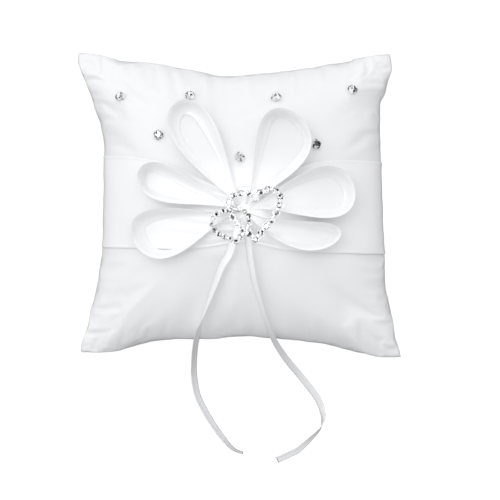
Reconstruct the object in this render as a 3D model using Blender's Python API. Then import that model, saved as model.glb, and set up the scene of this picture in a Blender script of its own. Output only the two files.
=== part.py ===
"""Ring bearer pillow: a square satin cushion with a pinched sash, a six-loop bow, two joined
rhinestone hearts, seven scattered rhinestones and two loose ribbon tails for tying the rings.

Units are metres. The cushion lies on its back at the origin: X runs across it, Y runs up it,
and Z rises out of its decorated front. The origin is under the middle, on the resting plane.
"""

import math

import bmesh
import bpy
import numpy as np
from mathutils import Matrix, Vector

# Cushion
PILLOW_WIDTH = 0.200
PILLOW_LENGTH = 0.190
SEAM_HEIGHT = 0.026
FRONT_RISE = 0.030
BACK_SWELL = 0.030
SIDE_PULL = 0.12
PULL_SOFTNESS = 0.30
CROWN_POWER = 0.45
PANEL_THICKNESS = 0.0006
PANEL_CELLS = 20
CLEARANCE = 0.0003
CORRECTIONS = 30

# Sash, whose ends are caught in the side seams
SASH_END_HALF_WIDTH = 0.029
SASH_DROP_TO_RIGHT = 0.0042
SASH_PINCH_TOP = 0.019
SASH_PINCH_BOTTOM = 0.005
SASH_PINCH_REACH = 0.035
SASH_THICKNESS = 0.0005
SASH_GAP = 0.0004
SASH_SEAM_SHARE = 0.985
SASH_EDGE_BLEND = 0.004
SASH_SLOPE_ALLOWANCE = 1.25
SASH_STEPS_ALONG = 40
SASH_STEPS_ACROSS = 8

# Bow
HUB_X = 0.003
HUB_Y = -0.0045
KNOT_RADIUS = 0.009
KNOT_HEIGHT = 0.006
# Rings of the knot: shares of its radius and of its height
KNOT_PROFILE = ((0.80, 0.0), (0.96, 0.18), (1.0, 0.42), (0.93, 0.68), (0.72, 0.88), (0.35, 1.0))
KNOT_SIDES = 20
LOOP_THICKNESS = 0.0005
LOOP_ROOT_HEIGHT = 0.0045
LOOP_FULL_HEIGHT = 0.0095
LOOP_RISE_REACH = 0.042
LOOP_LEAN = 0.0045
LOOP_STATIONS = 44

# Each loop: bearing from the hub in degrees, length, breadth, pointedness of the root,
# sideways drift of the tip, and sideways belly of the middle
LOOPS = {
    "upper_left": (120.5, 0.078, 0.0275, 1.9, 0.001, 0.004),
    "upper_right": (58.5, 0.069, 0.0360, 2.2, 0.005, -0.006),
    "mid_left": (167.5, 0.068, 0.0225, 2.6, -0.008, -0.008),
    "lower_left": (-152.0, 0.0685, 0.0320, 2.3, -0.0145, -0.018),
    "mid_right": (8.5, 0.070, 0.0320, 2.2, 0.0025, 0.012),
    "lower_right": (-20.0, 0.0645, 0.0184, 1.8, 0.006, -0.019),
}

# Hearts
HEART_HALF_STATIONS = 22
HEART_SAMPLES = 400
LARGE_HEART_CENTRE = (0.0102, -0.0048)
LARGE_HEART_WIDTH = 0.0315
LARGE_HEART_SLANT = 0.125
LARGE_HEART_TURN = 1.0
LARGE_HEART_WAVES = (0.456, 0.164, 0.066, -0.003)
LARGE_FRAME_WIDTH = 0.0030
LARGE_STONE_RADIUS = 0.00195
LARGE_STONE_SPACE = 0.0009
SMALL_HEART_CENTRE = (-0.0041, -0.0128)
SMALL_HEART_WIDTH = 0.0229
SMALL_HEART_SLANT = -0.05
SMALL_HEART_TURN = 15.0
SMALL_HEART_WAVES = (0.464, 0.074, 0.054, 0.008)
SMALL_FRAME_WIDTH = 0.0025
SMALL_STONE_RADIUS = 0.0016
SMALL_STONE_SPACE = 0.0004
FRAME_HEIGHT = 0.0012

# Rhinestones: each ring's radius and height are shares of the stone's own radius
STONE_SIDES = 8
STONE_RINGS = ((0.86, 0.0), (1.0, 0.28), (1.0, 0.42), (0.58, 0.95))
SCATTER_STONE_RADIUS = 0.0031
# The stones are spread over a field that is centred on the front panel and has its own size
SCATTER_FIELD_WIDTH = 0.200
SCATTER_FIELD_LENGTH = 0.190
# Places in the field: shares of the way from its middle to its right and its top edge
SCATTER_STONES = (
    (-0.766, 0.731),
    (-0.311, 0.777),
    (0.244, 0.771),
    (0.735, 0.779),
    (-0.531, 0.481),
    (0.011, 0.341),
    (0.525, 0.414),
)

# Ribbon tails: each route runs from the knot, down the cushion and out over the resting plane
TAIL_WIDTH = 0.0048
TAIL_THICKNESS = 0.0003
TAIL_STATIONS = 64
TAIL_CURVE_STEPS = 16
TAIL_LEFT_ROUTE = (
    (0.0005, -0.0145, 0.0602),
    (-0.0014, -0.0205, 0.0600),
    (-0.0036, -0.0265, 0.0591),
    (-0.0056, -0.0316, 0.0581),
    (-0.0098, -0.0385, 0.0566),
    (-0.0134, -0.0475, 0.0546),
    (-0.0179, -0.0594, 0.0509),
    (-0.0224, -0.0715, 0.0454),
    (-0.0255, -0.0812, 0.0378),
    (-0.0275, -0.0908, 0.0265),
    (-0.0286, -0.1005, 0.0160),
    (-0.0288, -0.1110, 0.0080),
    (-0.0262, -0.1250, 0.0025),
    (-0.0176, -0.1410, 0.0008),
    (-0.0085, -0.1535, 0.0006),
    (-0.0026, -0.1590, 0.0006),
    (0.0036, -0.1612, 0.0006),
)
TAIL_RIGHT_ROUTE = (
    (0.0058, -0.0145, 0.0602),
    (0.0062, -0.0205, 0.0600),
    (0.0066, -0.0265, 0.0591),
    (0.0072, -0.0316, 0.0581),
    (0.0083, -0.0380, 0.0566),
    (0.0099, -0.0473, 0.0546),
    (0.0131, -0.0592, 0.0509),
    (0.0168, -0.0716, 0.0454),
    (0.0206, -0.0812, 0.0382),
    (0.0257, -0.0910, 0.0262),
    (0.0325, -0.1010, 0.0155),
    (0.0410, -0.1115, 0.0075),
    (0.0514, -0.1255, 0.0025),
    (0.0549, -0.1355, 0.0012),
    (0.0545, -0.1410, 0.0010),
    (0.0522, -0.1462, 0.0008),
    (0.0400, -0.1580, 0.0006),
    (0.0338, -0.1616, 0.0006),
    (0.0240, -0.1660, 0.0006),
)

# Colours and finishes: base colour, roughness, metallic
SATIN_WHITE = ((0.90, 0.90, 0.92), 0.35, 0.0)
FIBRE_WHITE = ((0.86, 0.86, 0.85), 0.95, 0.0)
RIBBON_WHITE = ((0.94, 0.94, 0.95), 0.28, 0.0)
SILVER_PLATE = ((0.80, 0.80, 0.79), 0.18, 1.0)
CRYSTAL = ((0.88, 0.89, 0.91), 0.04, 0.6)


def smoothstep(x):
    """Rise from 0 to 1 as x goes from 0 to 1, flat at both ends."""
    x = np.clip(x, 0.0, 1.0)
    return x * x * (3.0 - 2.0 * x)


def edge_pull(t):
    """Share of the side pull: 1 in the middle of a side, 0 at its corners, a rounded V between."""
    reach = math.sqrt(1.0 + PULL_SOFTNESS ** 2) - PULL_SOFTNESS
    return 1.0 - (np.sqrt(t * t + PULL_SOFTNESS ** 2) - PULL_SOFTNESS) / reach


def crown(u, v):
    """Share of the full rise of a stuffed panel, 1 in the middle and 0 all along the seam."""
    return np.maximum((1.0 - u * u) * (1.0 - v * v), 0.0) ** CROWN_POWER


def plan(u, v, inset=0.0):
    """Place of panel coordinates u and v, each from -1 to 1, seen from above."""
    x = (PILLOW_WIDTH / 2 - inset) * u * (1.0 - SIDE_PULL * edge_pull(v))
    y = (PILLOW_LENGTH / 2 - inset) * v * (1.0 - SIDE_PULL * edge_pull(u))
    return x, y


def front_point(u, v):
    """Points on the outside of the front panel."""
    x, y = plan(u, v)
    z = SEAM_HEIGHT + CLEARANCE / 2 + FRONT_RISE * crown(u, v)
    return np.stack([x, y, z], axis=-1)


def front_normal(u, v):
    """Outward unit normals of the front panel, from two small steps along it."""
    step = 1e-4
    along_u = front_point(u + step, v) - front_point(u - step, v)
    along_v = front_point(u, v + step) - front_point(u, v - step)
    normal = np.cross(along_u, along_v)
    return normal / np.linalg.norm(normal, axis=-1, keepdims=True)


def panel_coordinates(x, y):
    """Panel coordinates of a place seen from above, found by repeated correction."""
    u = x / (PILLOW_WIDTH / 2)
    v = y / (PILLOW_LENGTH / 2)
    for _ in range(CORRECTIONS):
        u = np.clip(x / (PILLOW_WIDTH / 2 * (1.0 - SIDE_PULL * edge_pull(v))), -0.999, 0.999)
        v = np.clip(y / (PILLOW_LENGTH / 2 * (1.0 - SIDE_PULL * edge_pull(u))), -0.999, 0.999)
    return u, v


def front_height(x, y):
    """Height of the front panel at a place seen from above."""
    u, v = panel_coordinates(x, y)
    return front_point(u, v)[..., 2]


def sash_edges(x):
    """Lower and upper edge of the sash across the cushion: straight, tilted, drawn in at the hub."""
    tilt = -SASH_DROP_TO_RIGHT * x / PILLOW_WIDTH
    pinch = np.exp(-((x - HUB_X) / SASH_PINCH_REACH) ** 2)
    low = tilt - SASH_END_HALF_WIDTH + SASH_PINCH_BOTTOM * pinch
    high = tilt + SASH_END_HALF_WIDTH - SASH_PINCH_TOP * pinch
    return low, high


def seat_height(x, y):
    """Height where a piece rests on the front: over the panel, or over the sash where that lies."""
    low, high = sash_edges(x)
    outside = np.maximum(low - y, y - high)
    share = 1.0 - smoothstep((outside - SASH_EDGE_BLEND / 2) / SASH_EDGE_BLEND)
    sash_stack = (SASH_GAP + SASH_THICKNESS) * SASH_SLOPE_ALLOWANCE
    return front_height(x, y) + CLEARANCE + share * sash_stack


def principled(name, finish):
    """A Principled material with one colour, roughness and metallic value."""
    colour, roughness, metallic = finish
    material = bpy.data.materials.new(name)
    material.use_nodes = True
    shader = material.node_tree.nodes["Principled BSDF"]
    shader.inputs["Base Color"].default_value = (*colour, 1.0)
    shader.inputs["Roughness"].default_value = roughness
    shader.inputs["Metallic"].default_value = metallic
    return material


def add_object(name, mesh, finish):
    """Link a mesh as a named object with a material of its own."""
    piece = bpy.data.objects.new(name, mesh)
    bpy.context.collection.objects.link(piece)
    if not mesh.materials:
        mesh.materials.append(principled(name + "_finish", finish))
    return piece


def mesh_from(name, points, faces, smooth_angle):
    """A mesh from points and matching faces, turned to face outwards, its round parts smooth."""
    shape = bmesh.new()
    corners = [shape.verts.new(point) for point in points]
    for face in faces:
        shape.faces.new([corners[index] for index in face])
    if shape.calc_volume(signed=True) < 0:
        bmesh.ops.reverse_faces(shape, faces=shape.faces)
    mesh = bpy.data.meshes.new(name)
    shape.to_mesh(mesh)
    shape.free()
    mesh.shade_smooth()
    mesh.set_sharp_from_angle(angle=math.radians(smooth_angle))
    return mesh


def sheet_solid(name, upper, lower, finish):
    """A closed solid between two matching grids of points, walled along their four borders.

    Both grids split their cells along the same diagonal, so that nested layers never touch.
    """
    rows, columns = upper.shape[:2]
    layer = rows * columns
    points = np.concatenate([upper.reshape(-1, 3), lower.reshape(-1, 3)])
    index = np.arange(layer).reshape(rows, columns)
    faces = []
    for row in range(rows - 1):
        for column in range(columns - 1):
            near = index[row, column]
            beside = index[row, column + 1]
            far = index[row + 1, column + 1]
            ahead = index[row + 1, column]
            for cell in ([near, beside, far], [near, far, ahead]):
                faces.append(cell)
                faces.append([corner + layer for corner in reversed(cell)])
    border = list(index[0, :-1]) + list(index[:-1, -1])
    border += list(index[-1, :0:-1]) + list(index[:0:-1, 0])
    for start, end in zip(border, border[1:] + border[:1]):
        faces.append([end, start, start + layer, end + layer])
    return add_object(name, mesh_from(name, points, faces, 50), finish)


def loft_faces(stations, sides, closed):
    """Faces of a loft: quads between its rings, and a cap on each end where it is open."""
    index = np.arange(stations * sides).reshape(stations, sides)
    faces = []
    for start in range(stations if closed else stations - 1):
        end = (start + 1) % stations
        for side in range(sides):
            turn = (side + 1) % sides
            faces.append([index[start, side], index[start, turn], index[end, turn], index[end, side]])
    if not closed:
        faces.append(list(reversed(index[0])))
        faces.append(list(index[-1]))
    return faces


def loft_mesh(name, rings, closed=False, smooth_angle=40):
    """A closed mesh through rings of points."""
    stations, sides = rings.shape[:2]
    faces = loft_faces(stations, sides, closed)
    return mesh_from(name, rings.reshape(-1, 3), faces, smooth_angle)


def unit(vectors):
    """Vectors scaled to length one."""
    return vectors / np.linalg.norm(vectors, axis=-1, keepdims=True)


def panel_grid():
    """Panel coordinates on a square grid that is finer towards the seams."""
    steps = np.sin(np.linspace(-math.pi / 2, math.pi / 2, PANEL_CELLS + 1))
    return np.meshgrid(steps, steps, indexing="ij")


def front_layer(inset):
    """Points on the front panel, moved in from its outside by the inset."""
    u, v = panel_grid()
    x, y = plan(u, v, inset)
    z = SEAM_HEIGHT + CLEARANCE / 2 + (FRONT_RISE - inset) * crown(u, v)
    return np.stack([x, y, z], axis=-1)


def back_layer(inset):
    """Points on the back panel, moved in from its outside, and flat where the cushion rests."""
    u, v = panel_grid()
    x, y = plan(u, v, inset)
    seam = SEAM_HEIGHT - CLEARANCE / 2
    depth = np.minimum((BACK_SWELL - inset) * crown(u, v), seam - inset)
    return np.stack([x, y, seam - depth], axis=-1)


def make_cushion():
    """The two satin panels, which meet at the seam, and the fibre filling that swells them."""
    sheet_solid("front_panel", front_layer(0.0), front_layer(PANEL_THICKNESS), SATIN_WHITE)
    sheet_solid("back_panel", back_layer(PANEL_THICKNESS), back_layer(0.0), SATIN_WHITE)
    inset = PANEL_THICKNESS + CLEARANCE
    sheet_solid("fibre_filling", front_layer(inset), back_layer(inset), FIBRE_WHITE)


def sash_surface(offset):
    """Points of the sash at a distance above the front panel, seam to seam."""
    along = np.sin(np.linspace(-math.pi / 2, math.pi / 2, SASH_STEPS_ALONG + 1)) * SASH_SEAM_SHARE
    share = np.linspace(0.0, 1.0, SASH_STEPS_ACROSS + 1)
    u, share = np.meshgrid(along, share, indexing="ij")
    v = np.zeros_like(u)
    for _ in range(CORRECTIONS):
        low, high = sash_edges(plan(u, v)[0])
        y = low + share * (high - low)
        v = y / (PILLOW_LENGTH / 2 * (1.0 - SIDE_PULL * edge_pull(u)))
    return front_point(u, v) + offset * front_normal(u, v)


def make_sash():
    """The satin band laid across the front, pinched under the bow."""
    top = sash_surface(SASH_GAP + SASH_THICKNESS)
    underside = sash_surface(SASH_GAP)
    sheet_solid("sash_band", top, underside, RIBBON_WHITE)


def teardrop(bearing, length, breadth, pointedness, drift, belly, turn):
    """Outline of a bow loop seen from above, from its root out to its tip and back.

    With the turn from 0 to one full circle, the distance from the hub is the length times the
    squared sine of the half turn, and the width follows the sine of the turn times a power of
    that half sine, which draws the root to a point.
    """
    half_sine = np.sin(turn / 2)
    share = half_sine ** 2
    peak_share = (pointedness + 1) / (pointedness + 2)
    peak = 2 * peak_share ** ((pointedness + 1) / 2) * math.sqrt(1 - peak_share)
    across = breadth / 2 * np.sin(turn) * half_sine ** pointedness / peak
    across = across + drift * share ** 2 + belly * share * (1 - share)
    along = length * share
    heading = math.radians(bearing)
    x = HUB_X + math.cos(heading) * along - math.sin(heading) * across
    y = HUB_Y + math.sin(heading) * along + math.cos(heading) * across
    return np.stack([x, y], axis=-1)


def loop_outline(shape):
    """A loop's outline clear of the knot, how far it has risen, and its height along it."""
    length = shape[1]
    root = KNOT_RADIUS + CLEARANCE
    first = 2 * math.asin(math.sqrt(root / length))
    turn = np.linspace(first, 2 * math.pi - first, LOOP_STATIONS)
    rise = smoothstep((np.sin(turn / 2) ** 2 * length - root) / LOOP_RISE_REACH)
    height = LOOP_ROOT_HEIGHT + (LOOP_FULL_HEIGHT - LOOP_ROOT_HEIGHT) * rise
    return teardrop(*shape, turn), rise, height


def make_loop(name, shape):
    """A ribbon loop standing on its edge and leaning outwards, both ends butted to the knot."""
    outline, rise, height = loop_outline(shape)
    ahead = unit(np.gradient(outline, axis=0))
    outward = np.stack([-ahead[:, 1], ahead[:, 0]], axis=-1)
    if np.mean(np.sum(outward * (outline - outline.mean(axis=0)), axis=1)) < 0:
        outward = -outward
    lean = (LOOP_LEAN * rise)[:, None] * outward
    wall = LOOP_THICKNESS * outward
    foot_inner = outline - wall - lean
    foot_outer = outline - lean
    corners = []
    for foot, lift in ((foot_inner, 0), (foot_outer, 0), (foot_outer, 1), (foot_inner, 1)):
        z = seat_height(foot[:, 0], foot[:, 1]) + lift * height
        corners.append(np.column_stack([foot + lift * lean, z]))
    rings = np.stack(corners, axis=1)
    add_object("bow_loop_" + name, loft_mesh("bow_loop_" + name, rings), RIBBON_WHITE)


def crest_within(reach):
    """Highest edge of the loops within a distance of the hub."""
    crest = 0.0
    for shape in LOOPS.values():
        outline, _rise, height = loop_outline(shape)
        near = np.linalg.norm(outline - np.array([HUB_X, HUB_Y]), axis=1) < reach
        edge = seat_height(outline[:, 0], outline[:, 1]) + height
        crest = max(crest, edge[near].max())
    return crest


def hub_seat():
    """Height at which the knot rests on the sash."""
    return float(seat_height(np.array([HUB_X]), np.array([HUB_Y]))[0])


def make_knot():
    """The rounded ribbon knot that gathers the loops."""
    angles = np.linspace(0, 2 * math.pi, KNOT_SIDES, endpoint=False)
    rings = []
    for radius_share, height_share in KNOT_PROFILE:
        x = HUB_X + KNOT_RADIUS * radius_share * np.cos(angles)
        y = HUB_Y + KNOT_RADIUS * radius_share * np.sin(angles)
        z = np.full_like(x, hub_seat() + KNOT_HEIGHT * height_share)
        rings.append(np.stack([x, y, z], axis=-1))
    add_object("bow_knot", loft_mesh("bow_knot", np.array(rings)), RIBBON_WHITE)


def make_bow():
    """Six loops around one knot."""
    for name, shape in LOOPS.items():
        make_loop(name, shape)
    make_knot()


def heart_outline(turn, centre, width, slant, tilt, waves):
    """Heart seen from above: x follows the cubed sine of the turn, y a sum of four cosines."""
    first, second, third, fourth = (width * wave for wave in waves)
    x = width / 2 * np.sin(turn) ** 3
    y = first * np.cos(turn) - second * np.cos(2 * turn)
    y = y - third * np.cos(3 * turn) - fourth * np.cos(4 * turn) + slant * x
    angle = math.radians(tilt)
    turned_x = math.cos(angle) * x - math.sin(angle) * y
    turned_y = math.sin(angle) * x + math.cos(angle) * y
    return np.stack([centre[0] + turned_x, centre[1] + turned_y], axis=-1)


def even_points(outline, count):
    """Points at equal steps along a polyline, both ends included."""
    lengths = np.linalg.norm(np.diff(outline, axis=0), axis=1)
    run = np.concatenate([[0.0], np.cumsum(lengths)])
    wanted = np.linspace(0.0, run[-1], count)
    columns = [np.interp(wanted, run, outline[:, axis]) for axis in range(outline.shape[1])]
    return np.stack(columns, axis=-1)


def heart_halves(shape):
    """The right side from dip to tip, and the left side from tip to dip, finely sampled."""
    right = heart_outline(np.linspace(0, math.pi, HEART_SAMPLES), *shape)
    left = heart_outline(np.linspace(math.pi, 2 * math.pi, HEART_SAMPLES), *shape)
    return right, left


def mitred_offsets(path, distance):
    """Outward offsets of a closed path, lengthened at its corners like a mitre joint."""
    ahead = unit(np.roll(path, -1, axis=0) - path)
    behind = np.roll(ahead, 1, axis=0)
    normal_ahead = np.stack([ahead[:, 1], -ahead[:, 0]], axis=-1)
    normal_behind = np.stack([behind[:, 1], -behind[:, 0]], axis=-1)
    bisector = unit(normal_ahead + normal_behind)
    cosine = np.sum(bisector * normal_ahead, axis=1)
    return bisector * (distance / np.maximum(cosine, 0.5))[:, None]


def make_heart_frame(name, shape, frame_width, base):
    """A flat metal heart of even width, its inside open."""
    right, left = heart_halves(shape)
    count = HEART_HALF_STATIONS + 1
    path = np.concatenate([even_points(right, count)[:-1], even_points(left, count)[:-1]])
    offset = mitred_offsets(path, frame_width / 2)
    corners = []
    for side, lift in ((-1, 0), (1, 0), (1, 1), (-1, 1)):
        z = np.full(len(path), base + lift * FRAME_HEIGHT)
        corners.append(np.column_stack([path + side * offset, z]))
    rings = np.stack(corners, axis=1)
    add_object(name, loft_mesh(name, rings, closed=True), SILVER_PLATE)


def stone_mesh(name, radius):
    """A flat-backed rhinestone: a short foot, a girdle and a sloping crown around a flat table."""
    angles = np.linspace(0, 2 * math.pi, STONE_SIDES, endpoint=False) + math.pi / STONE_SIDES
    rings = []
    for radius_share, height_share in STONE_RINGS:
        x = radius * radius_share * np.cos(angles)
        y = radius * radius_share * np.sin(angles)
        z = np.full_like(x, radius * height_share)
        rings.append(np.stack([x, y, z], axis=-1))
    return loft_mesh(name, np.array(rings), smooth_angle=10)


def place_stone(name, mesh, place, normal):
    """One rhinestone seated on its flat back, facing along the normal."""
    stone = add_object(name, mesh, CRYSTAL)
    turn = Vector((0, 0, 1)).rotation_difference(Vector(normal)).to_matrix().to_4x4()
    stone.matrix_world = Matrix.Translation(Vector(place)) @ turn


def heart_stone_places(shape, radius, space):
    """Stone centres along a heart: the dip, the right side, the tip and the left side.

    Each side holds as many equal steps as fit, each at least a stone and the space between two.
    """
    places = []
    for side in heart_halves(shape):
        run = np.linalg.norm(np.diff(side, axis=0), axis=1).sum()
        steps = int(run / (2 * radius + space))
        places.append(even_points(side, steps + 1)[:-1])
    return np.concatenate(places)


def set_heart_stones(prefix, places, radius, base):
    """A row of equal stones on a heart frame, each an object of its own on a shared mesh."""
    mesh = stone_mesh(prefix, radius)
    for number, place in enumerate(places, start=1):
        place_stone(f"{prefix}_{number:02d}", mesh, (place[0], place[1], base), (0, 0, 1))


def make_hearts():
    """Two joined hearts on the knot: the large frame crosses over the small one."""
    small = (
        SMALL_HEART_CENTRE, SMALL_HEART_WIDTH, SMALL_HEART_SLANT, SMALL_HEART_TURN, SMALL_HEART_WAVES,
    )
    large = (
        LARGE_HEART_CENTRE, LARGE_HEART_WIDTH, LARGE_HEART_SLANT, LARGE_HEART_TURN, LARGE_HEART_WAVES,
    )
    outlines = np.concatenate(heart_halves(small) + heart_halves(large))
    reach = np.linalg.norm(outlines - np.array([HUB_X, HUB_Y]), axis=1).max() + LARGE_FRAME_WIDTH / 2
    small_base = max(hub_seat() + KNOT_HEIGHT, crest_within(reach)) + CLEARANCE
    large_base = small_base + FRAME_HEIGHT + CLEARANCE
    make_heart_frame("small_heart_frame", small, SMALL_FRAME_WIDTH, small_base)
    make_heart_frame("large_heart_frame", large, LARGE_FRAME_WIDTH, large_base)

    large_seat = large_base + FRAME_HEIGHT + CLEARANCE
    large_places = heart_stone_places(large, LARGE_STONE_RADIUS, LARGE_STONE_SPACE)
    set_heart_stones("large_heart_stone", large_places, LARGE_STONE_RADIUS, large_seat)

    small_places = heart_stone_places(small, SMALL_STONE_RADIUS, SMALL_STONE_SPACE)
    crossing = np.concatenate(heart_halves(large))
    distance = np.linalg.norm(small_places[:, None] - crossing[None], axis=2).min(axis=1)
    needed = SMALL_STONE_RADIUS + max(LARGE_FRAME_WIDTH / 2, LARGE_STONE_RADIUS) + CLEARANCE
    free_places = small_places[distance > needed]
    small_seat = small_base + FRAME_HEIGHT + CLEARANCE
    set_heart_stones("small_heart_stone", free_places, SMALL_STONE_RADIUS, small_seat)


def make_scattered_stones():
    """Seven larger rhinestones glued to the upper half of the front."""
    mesh = stone_mesh("scatter_stone", SCATTER_STONE_RADIUS)
    for number, (right, up) in enumerate(SCATTER_STONES, start=1):
        u = np.array(right * SCATTER_FIELD_WIDTH / PILLOW_WIDTH)
        v = np.array(up * SCATTER_FIELD_LENGTH / PILLOW_LENGTH)
        normal = front_normal(u, v)
        place = front_point(u, v) + CLEARANCE * normal
        place_stone(f"scatter_stone_{number}", mesh, place, normal)


def smooth_route(route, count):
    """Evenly spaced points on a smooth curve through a route's points (a Catmull-Rom spline)."""
    points = np.array(route)
    before = np.vstack([2 * points[0] - points[1], points[:-2]])
    start = points[:-1]
    end = points[1:]
    after = np.vstack([points[2:], 2 * points[-1] - points[-2]])
    t = np.linspace(0.0, 1.0, TAIL_CURVE_STEPS, endpoint=False)[None, :, None]
    before, start, end, after = (part[:, None, :] for part in (before, start, end, after))
    curve = 0.5 * (
        2 * start
        + (end - before) * t
        + (2 * before - 5 * start + 4 * end - after) * t ** 2
        + (3 * start - before - 3 * end + after) * t ** 3
    )
    return even_points(np.vstack([curve.reshape(-1, 3), points[-1:]]), count)


def make_tail(name, route):
    """A narrow ribbon lying flat along its route."""
    centre = smooth_route(route, TAIL_STATIONS)
    ahead = unit(np.gradient(centre, axis=0))
    side = unit(np.cross(ahead, np.array([0.0, 0.0, 1.0])))
    face = np.cross(side, ahead)
    across = side * TAIL_WIDTH / 2
    through = face * TAIL_THICKNESS / 2
    corners = [centre + across + through, centre - across + through]
    corners += [centre - across - through, centre + across - through]
    rings = np.stack(corners, axis=1)
    add_object(name, loft_mesh(name, rings), RIBBON_WHITE)


def clear_scene():
    """Remove every object that the scene holds."""
    for item in list(bpy.data.objects):
        bpy.data.objects.remove(item, do_unlink=True)


def main():
    """Build every piece of the ring bearer pillow."""
    clear_scene()
    make_cushion()
    make_sash()
    make_bow()
    make_hearts()
    make_scattered_stones()
    make_tail("ring_tail_left", TAIL_LEFT_ROUTE)
    make_tail("ring_tail_right", TAIL_RIGHT_ROUTE)


main()
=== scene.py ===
"""Ring bearer pillow: white satin cushion, pinched sash, six-loop bow, joined rhinestone hearts."""

import math

import bpy
import numpy as np
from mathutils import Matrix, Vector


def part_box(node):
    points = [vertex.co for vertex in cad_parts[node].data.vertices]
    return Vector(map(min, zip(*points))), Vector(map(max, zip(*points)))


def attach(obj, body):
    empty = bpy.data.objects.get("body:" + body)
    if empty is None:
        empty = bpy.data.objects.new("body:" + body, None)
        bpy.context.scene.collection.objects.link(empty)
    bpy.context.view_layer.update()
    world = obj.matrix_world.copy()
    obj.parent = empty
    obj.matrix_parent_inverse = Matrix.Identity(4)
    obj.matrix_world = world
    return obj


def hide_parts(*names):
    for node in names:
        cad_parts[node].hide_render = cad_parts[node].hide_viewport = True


bl_info = {
    "name": "Ring Bearer Pillow",
    "version": (1, 0, 0),
    "blender": (4, 5, 0),
    "location": "View3D > Sidebar > Ring Pillow",
    "description": "Dresses a ring bearer pillow in satin, ribbon, silver plate and rhinestones",
    "category": "Add Mesh",
}

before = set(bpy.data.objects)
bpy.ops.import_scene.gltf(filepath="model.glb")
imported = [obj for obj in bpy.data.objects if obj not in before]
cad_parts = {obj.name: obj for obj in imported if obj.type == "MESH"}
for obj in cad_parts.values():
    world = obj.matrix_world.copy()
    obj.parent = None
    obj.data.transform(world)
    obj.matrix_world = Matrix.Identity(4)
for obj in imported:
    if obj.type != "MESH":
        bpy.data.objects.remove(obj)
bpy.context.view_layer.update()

# Cushion, from the frame
PANEL_LOW, PANEL_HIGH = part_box("front_panel")
HALF_WIDTH = float(PANEL_HIGH[0])
HALF_LENGTH = float(PANEL_HIGH[1])
SEAM_HEIGHT = float(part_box("back_panel")[1][2] + PANEL_LOW[2]) / 2
FRONT_RISE = float(PANEL_HIGH[2]) - SEAM_HEIGHT
BACK_SWELL = FRONT_RISE
CROWN_POWER = 0.45
COVER_CELLS = 132
BACK_FLOOR_GAP = 0.0004
PUCKER_HEIGHT = 0.00034
PUCKER_REACH = 0.0045
DRAG_HEIGHT = 0.0009
SEAM_WOBBLE = (0.00025, 0.00030)
SEAM_WOBBLE_REACH = 0.004

# How the cover's cloth settles: air pressure, frames, and the hub's radius of calm; the share of
# its move that is left under the sash, that band's half width and its edge; and its lowest height
CLOTH_PRESSURE = 4.0
CLOTH_FRAMES = 20
CLOTH_CALM = 0.045
CLOTH_UNDER_SASH = 0.15
CLOTH_BAND = 0.024
CLOTH_BAND_EDGE = 0.014
COVER_LOWEST = 0.0002

# The seam's four sides, seen from above: hand-sewn, so no two are quite alike
SEAM_LEFT = (
    (-0.0998, -0.0938), (-0.1002, -0.0905), (-0.0990, -0.0857), (-0.0965, -0.0794),
    (-0.0950, -0.0730), (-0.0938, -0.0667), (-0.0920, -0.0603), (-0.0905, -0.0540),
    (-0.0882, -0.0413), (-0.0865, -0.0290), (-0.0858, -0.0200), (-0.0855, -0.0090),
    (-0.0853, 0.0090), (-0.0851, 0.0300), (-0.0857, 0.0397), (-0.0875, 0.0508),
    (-0.0903, 0.0587), (-0.0950, 0.0724), (-0.1000, 0.0850), (-0.1021, 0.0925), (-0.1016, 0.0962),
)
SEAM_RIGHT = (
    (0.1030, -0.0965), (0.1020, -0.0920), (0.1000, -0.0857), (0.0990, -0.0790),
    (0.0980, -0.0730), (0.0965, -0.0667), (0.0950, -0.0603), (0.0933, -0.0500),
    (0.0929, -0.0380), (0.0922, -0.0240), (0.0912, -0.0080), (0.0909, 0.0048),
    (0.0903, 0.0286), (0.0900, 0.0484), (0.0899, 0.0620), (0.0906, 0.0660), (0.0935, 0.0715),
    (0.0948, 0.0770), (0.0962, 0.0820), (0.0975, 0.0865), (0.0970, 0.0905), (0.0966, 0.0935),
    (0.0958, 0.0960),
)
SEAM_BOTTOM = (
    (-0.0998, -0.0938), (-0.0920, -0.0937), (-0.0854, -0.0936), (-0.0790, -0.0930),
    (-0.0727, -0.0917), (-0.0663, -0.0899), (-0.0600, -0.0879), (-0.0537, -0.0865),
    (-0.0473, -0.0857), (-0.0410, -0.0854), (-0.0219, -0.0852), (-0.0092, -0.0845),
    (-0.0029, -0.0838), (0.0098, -0.0835), (0.0162, -0.0842), (0.0300, -0.0855),
    (0.0479, -0.0872), (0.0543, -0.0883), (0.0606, -0.0897), (0.0670, -0.0917),
    (0.0733, -0.0930), (0.0797, -0.0943), (0.0860, -0.0960), (0.0924, -0.0968),
    (0.0987, -0.0970), (0.1030, -0.0965),
)
SEAM_TOP = (
    (-0.1016, 0.0962), (-0.0975, 0.0966), (-0.0895, 0.0952), (-0.0800, 0.0933),
    (-0.0752, 0.0917), (-0.0625, 0.0908), (-0.0498, 0.0893), (-0.0371, 0.0870),
    (-0.0219, 0.0841), (-0.0157, 0.0825), (-0.0022, 0.0819), (0.0129, 0.0833),
    (0.0288, 0.0849), (0.0454, 0.0870), (0.0565, 0.0893), (0.0700, 0.0909),
    (0.0740, 0.0928), (0.0841, 0.0949), (0.0958, 0.0960),
)

# Cloth thicknesses
SASH_WALL = 0.0003
LOOP_WALL = 0.00028
TAIL_WALL = 0.00022

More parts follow.
